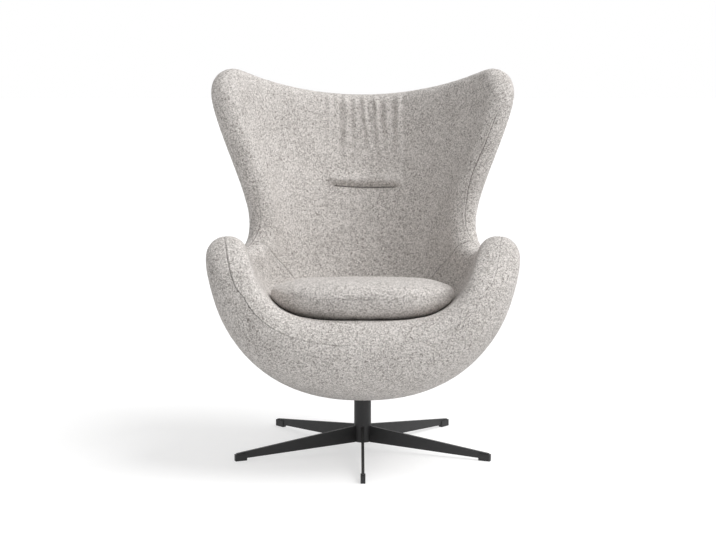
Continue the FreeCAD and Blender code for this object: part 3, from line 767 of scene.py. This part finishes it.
def cushionStart(form):
    # two domes on the same round grid, joined along its edge
    reaches = form["reaches"][:0:-1] + form["reaches"]
    angles = np.linspace(-math.pi, math.pi, len(reaches))
    size = form["cells"] + 1
    steps = np.linspace(-1, 1, size)
    top, bottom = [], []
    for v in steps:
        for u in steps:
            x, y = u * math.sqrt(1 - v * v / 2), v * math.sqrt(1 - u * u / 2)
            share = min(1.0, math.hypot(x, y))
            angle = math.atan2(x, -y)
            reach = splineThrough(angles, reaches, [angle])[0] * share
            spotX = form["centre"][0] + math.sin(angle) * reach
            spotY = form["centre"][1] - math.cos(angle) * reach
            seam = form["centre"][2] + reach * math.cos(angle) * math.tan(math.radians(form["tilt"]))
            floor = shellTree.ray_cast(Vector((spotX, spotY, form["castFrom"])), Vector((0, 0, -1)))[0]
            low = seam - form["drop"] * math.sqrt(max(0.0, 1 - share * share))
            rest = (floor.z if floor else form["lowest"]) + form["seatClearance"]
            low = min(seam, (low + rest + math.sqrt((low - rest) ** 2 + form["restBlend"])) / 2)
            high = seam + form["rise"] * math.sqrt(max(0.0, 1 - share ** form["fullness"]))
            top.append((spotX, spotY, high))
            bottom.append((spotX, spotY, low))
    inside = np.zeros((size, size), bool)
    inside[1:-1, 1:-1] = True
    inside = inside.reshape(-1)
    under = np.arange(size * size)
    under[inside] = size * size + np.arange(inside.sum())
    points = top + [spot for spot, free in zip(bottom, inside) if free]
    seamWeight = np.zeros(len(points))
    seamWeight[:size * size][~inside] = 1.0
    faces = np.concatenate([gridFaces((size, size), False), under[gridFaces((size, size), True)]])
    return meshFrom("seatCushion", points, faces), seamWeight


def fitToShell(points, gap):
    for i, spot in enumerate(points):
        found = shellTree.find_nearest(Vector(spot), cushionForm["searchReach"])
        if found[0] is not None:
            height = (Vector(spot) - found[0]).dot(found[1])
            if height < gap:
                points[i] = np.array(found[0] + found[1] * gap)
    return points


def inflate(piece, pinned, form):
    start = pointsOf(piece)
    group = piece.vertex_groups.new(name="seamHold")
    for i in np.nonzero(pinned)[0]:
        group.add([int(i)], 1.0, "REPLACE")
    cloth = piece.modifiers.new("padding", "CLOTH")
    settings = cloth.settings
    settings.quality = form["quality"]
    settings.mass = form["mass"]
    settings.tension_stiffness = settings.compression_stiffness = form["stretch"]
    settings.shear_stiffness = form["shear"]
    settings.bending_stiffness = form["bending"]
    settings.use_pressure = True
    settings.uniform_pressure_force = form["pressure"]
    settings.shrink_min = form["pull"]
    settings.vertex_group_mass = "seamHold"
    settings.effector_weights.gravity = 0
    for number in range(1, form["frames"] + 1):
        scene.frame_set(number)
    moved = pointsOf(piece.evaluated_get(bpy.context.evaluated_depsgraph_get()))
    piece.modifiers.clear()
    piece.vertex_groups.clear()
    scene.frame_set(1)
    shift = moved - start
    size = np.linalg.norm(shift, axis=1, keepdims=True)
    shift *= np.minimum(1.0, form["cap"] / np.maximum(size, 1e-9))
    print("cushion moved by up to", round(float(size.max()) * 1000, 1), "mm before the cap")
    return start + shift


def makeCushion(form):
    cushion, seamWeight = cushionStart(form)
    setPoints(cushion, fitToShell(inflate(cushion, seamWeight, form), form["seatClearance"]))
    setAttribute(cushion, "seamWeight", seamWeight)
    finer = cushion.modifiers.new("finer", "SUBSURF")
    finer.levels = finer.render_levels = form["finerLevels"]
    cushion = bake(cushion)
    weights = np.empty(len(cushion.data.vertices), dtype=np.float32)
    cushion.data.attributes["seamWeight"].data.foreach_get("value", weights)
    points, normals = pointsOf(cushion), pointsOf(cushion, "normal")
    gap = nearestOnLine(points, points[weights > form["onSeam"]])[:, 1]
    more = form["showsMore"] * bell(points[:, 0] - form["morePlace"], form["moreSpan"])
    inFront = form["showsInFront"] + more
    shows = np.where(points[:, 1] < form["centre"][1], inFront, form["showsBehind"])
    shift = seamShape(gap, form["seamShare"], form["seamWelt"], form["seamSpread"]) + loopBumps(points, gap)
    setPoints(cushion, fitToShell(points + normals * shift[:, None], form["clearance"]))
    markSeams(cushion, [(gap, shows)])
    cushion.data.attributes.remove(cushion.data.attributes["seamWeight"])
    cushion.data.materials.clear()
    cushion.data.materials.append(coverFabric)
    cushion.data.shade_smooth()
    return cushion


cushion = makeCushion(cushionForm)
print("cushion made", len(cushion.data.polygons))


# Small pieces in rows: the stitches of the tuck and the teeth of the cushion's zip

def makeRowTree():
    tree, given, end = newGroup("piecesInRow", "GeometryNodeTree",
                                [("Line", "Geometry", None), ("Spacing", "Float", 0.004),
                                 ("Length", "Float", 0.003), ("Thickness", "Float", 0.001),
                                 ("Turn", "Float", 0.2), ("Unevenness", "Float", 0.1),
                                 ("Seed", "Int", 3), ("Material", "Material", None)],
                                [("Pieces", "Geometry")])
    line = place(tree, "GeometryNodeMeshToCurve", {0: given["Line"]}).outputs[0]
    even = place(tree, "GeometryNodeResampleCurve", {"Curve": line, "Length": given["Spacing"]},
                 mode="LENGTH")
    tangent = place(tree, "GeometryNodeInputTangent").outputs[0]
    along = place(tree, "FunctionNodeAlignRotationToVector", {"Vector": tangent}, axis="X").outputs[0]
    least = calc(tree, "MULTIPLY", given["Unevenness"], -1.0)
    uneven = place(tree, "FunctionNodeRandomValue",
                   {"Seed": given["Seed"], 2: least, 3: given["Unevenness"]}, data_type="FLOAT")
    angle = calc(tree, "ADD", given["Turn"], uneven.outputs[1])
    spin = place(tree, "ShaderNodeCombineXYZ", {1: angle}).outputs[0]
    facing = place(tree, "FunctionNodeRotateRotation", {0: along, 1: spin},
                   rotation_space="LOCAL").outputs[0]
    size = place(tree, "ShaderNodeCombineXYZ", {0: given["Length"], 1: given["Thickness"],
                                                2: given["Thickness"]}).outputs[0]
    bead = place(tree, "GeometryNodeMeshUVSphere", {"Segments": 8, "Rings": 5, "Radius": 0.5}).outputs[0]
    row = place(tree, "GeometryNodeInstanceOnPoints", {"Points": even.outputs[0], "Instance": bead,
                                                       "Rotation": facing, "Scale": size}).outputs[0]
    solid = place(tree, "GeometryNodeRealizeInstances", {0: row}).outputs[0]
    finished = place(tree, "GeometryNodeSetMaterial", {0: solid, "Material": given["Material"]})
    feed(tree, end, {"Pieces": finished.outputs[0]})
    return tree


rowTree = makeRowTree()


def rowOfPieces(name, points, values):
    mesh = bpy.data.meshes.new(name)
    mesh.from_pydata([tuple(p) for p in points], [(i, i + 1) for i in range(len(points) - 1)], [])
    piece = addObject(name, mesh)
    row = piece.modifiers.new("row", "NODES")
    row.node_group = rowTree
    sockets = {item.name: item.identifier for item in rowTree.interface.items_tree
               if item.in_out == "INPUT"}
    for label, value in values.items():
        row[sockets[label]] = value
    return bake(piece)


stitches = {
    # share of the tuck they fill, places on their line, and how far they stand out
    "reach": 0.97, "spots": 60, "proud": 0.0003,
    "row": {"Spacing": 0.0056, "Length": 0.0048, "Thickness": 0.0012, "Turn": 0.22, "Unevenness": 0.08,
            "Seed": 4, "Material": sewingThread},
}

teeth = {
    # the tape is found by rays from behind, which start at this depth and height
    "halfLength": 0.113, "spots": 80, "proud": 0.0002, "castFrom": (0.2, 0.433),
    "row": {"Spacing": 0.0019, "Length": 0.0046, "Thickness": 0.0013, "Turn": 1.5708, "Unevenness": 0.0,
            "Seed": 1, "Material": naturalNylon},
}


def tuckSpots():
    # places at the bottom of the tuck, read from the finished cover
    surface = BVHTree.FromObject(innerCover, bpy.context.evaluated_depsgraph_get())
    spots = []
    for share in np.linspace(-stitches["reach"], stitches["reach"], stitches["spots"]):
        x = tuck["centre"] + tuck["halfWidth"] * share
        hit = surface.ray_cast(Vector((x, 0.0, float(tuckLine(x)))), Vector((0, 1, 0)))[0]
        spots.append(hit + Vector((0, -stitches["proud"], 0)))
    return spots


def zipSpots():
    # places along the outer face of the zip's tape, on the plane of the cushion's seam
    surface = BVHTree.FromObject(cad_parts["zip_tape"], bpy.context.evaluated_depsgraph_get())
    slope = math.tan(math.radians(cushionForm["tilt"]))
    spots = []
    for x in np.linspace(-teeth["halfLength"], teeth["halfLength"], teeth["spots"]):
        hit = surface.ray_cast(Vector((x, *teeth["castFrom"])), Vector((0, -1, 0)))[0]
        height = cushionForm["centre"][2] - (hit.y - cushionForm["centre"][1]) * slope
        spots.append((hit.x, hit.y + teeth["proud"], height))
    return spots


tuckStitches = rowOfPieces("tuckStitches", tuckSpots(), stitches["row"])
zipTeeth = rowOfPieces("zipTeeth", zipSpots(), teeth["row"])
print("rows made", len(tuckStitches.data.polygons), len(zipTeeth.data.polygons))


# What rides where

for cover, nodes in ((innerCover, ("inner_cover", "shell_foam")),
                     (outerCover, ("outer_cover", "outer_pad"))):
    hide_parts(*nodes)
    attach(cover, "seat")
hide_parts("tuck_thread")
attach(tuckStitches, "seat")
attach(zipTeeth, "cushion")
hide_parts("cushion_foam", "cushion_top_panel", "cushion_bottom_panel")
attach(cushion, "cushion")

nodeLooks = {
    "column_tube": powderCoat, "column_cap": blackPlastic,
    "lower_bush": naturalNylon, "upper_bush": naturalNylon, "thrust_washer": naturalNylon,
    "spindle": zincSteel, "keeper_washer": zincSteel, "keeper_screw": zincSteel,
    "mounting_plate": zincSteel, "plate_screws": zincSteel, "threaded_inserts": zincSteel,
    "carrier_block": mouldedBlock, "hem_ring": blackPlastic, "rigid_shell": glassShell,
    "outer_pad": cutFoam, "shell_foam": cutFoam, "cushion_foam": cutFoam,
    "inner_cover": coverFabric, "outer_cover": coverFabric, "tuck_thread": sewingThread,
    "cushion_top_panel": coverFabric, "cushion_bottom_panel": coverFabric,
    "zip_tape": zipWeave, "zip_pull": zincSteel,
}
for side in ("front", "front_right", "front_left", "rear_right", "rear_left"):
    nodeLooks["leg_" + side] = powderCoat
    nodeLooks["glide_" + side] = blackPlastic
for name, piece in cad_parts.items():
    for materialSlot in piece.material_slots:
        materialSlot.material = nodeLooks[name]
print("nodes finished")


# Studio

studio = {
    "floorReach": 30.0, "floorRoughness": 0.9, "floorSpecular": 0.1,
    "floorBounce": 0.8, "floorSeen": 0.5, "floorGlow": 0.56, "backdrop": 1.0,
    "skyLight": 0.59, "skyLean": (0.45, 0.0, 0.0),
    "keyStrength": 2.05, "keyFrom": (0.55, -0.16, 0.82), "keySpread": 36.0,
    "cameraPlace": (-0.013, -4.5, 1.131), "cameraTilt": 7.86, "lens": 81.75,
}


def seenStraight(tree):
    # 1 for what the camera sees, directly or in a mirror, and 0 for light that falls on the chair
    rays = place(tree, "ShaderNodeLightPath").outputs
    return calc(tree, "MAXIMUM", rays["Is Camera Ray"], rays["Is Glossy Ray"])


def makeFloor():
    reach = studio["floorReach"]
    mesh = bpy.data.meshes.new("studioFloor")
    mesh.from_pydata([(-reach, -reach, 0), (reach, -reach, 0), (reach, reach, 0), (-reach, reach, 0)], [],
                     [(0, 1, 2, 3)])
    floor = addObject("studioFloor", mesh)
    material, tree, shader = newMaterial("paleFloor")
    seen = seenStraight(tree)
    tones = [[studio[key]] * 3 + [1] for key in ("floorBounce", "floorSeen")]
    feed(tree, shader, {"Base Color": mixColors(tree, seen, *tones), "Emission Color": (1, 1, 1, 1),
                        "Emission Strength": calc(tree, "MULTIPLY", seen, studio["floorGlow"]),
                        "Roughness": studio["floorRoughness"],
                        "Specular IOR Level": studio["floorSpecular"]})
    floor.data.materials.append(material)


def makeSky():
    # plain light from all round, stronger from one side
    world = bpy.data.worlds.new("studio")
    world.use_nodes = True
    scene.world = world
    tree = world.node_tree
    direction = place(tree, "ShaderNodeTexCoord").outputs["Generated"]
    lean = place(tree, "ShaderNodeVectorMath", {0: direction, 1: studio["skyLean"]}, operation="DOT_PRODUCT")
    sky = calc(tree, "MULTIPLY_ADD", lean.outputs["Value"], studio["skyLight"], studio["skyLight"])
    strength = place(tree, "ShaderNodeMix", {0: seenStraight(tree), 2: sky, 3: studio["backdrop"]},
                     data_type="FLOAT")
    feed(tree, tree.nodes["Background"], {"Color": (1, 1, 1, 1), "Strength": strength.outputs[0]})


def makeKeyLight():
    lamp = bpy.data.lights.new("keyLight", "SUN")
    lamp.energy = studio["keyStrength"]
    lamp.angle = math.radians(studio["keySpread"])
    key = addObject("keyLight", lamp)
    key.rotation_euler = Vector(studio["keyFrom"]).to_track_quat("Z", "Y").to_euler()


def makeCamera():
    view = bpy.data.cameras.new("photoCamera")
    view.lens = studio["lens"]
    camera = addObject("photoCamera", view)
    camera.location = studio["cameraPlace"]
    camera.rotation_euler = (math.radians(90 - studio["cameraTilt"]), 0, 0)
    scene.camera = camera


makeFloor()
makeSky()
makeKeyLight()
makeCamera()
scene.view_settings.view_transform = "Standard"
print("studio made")
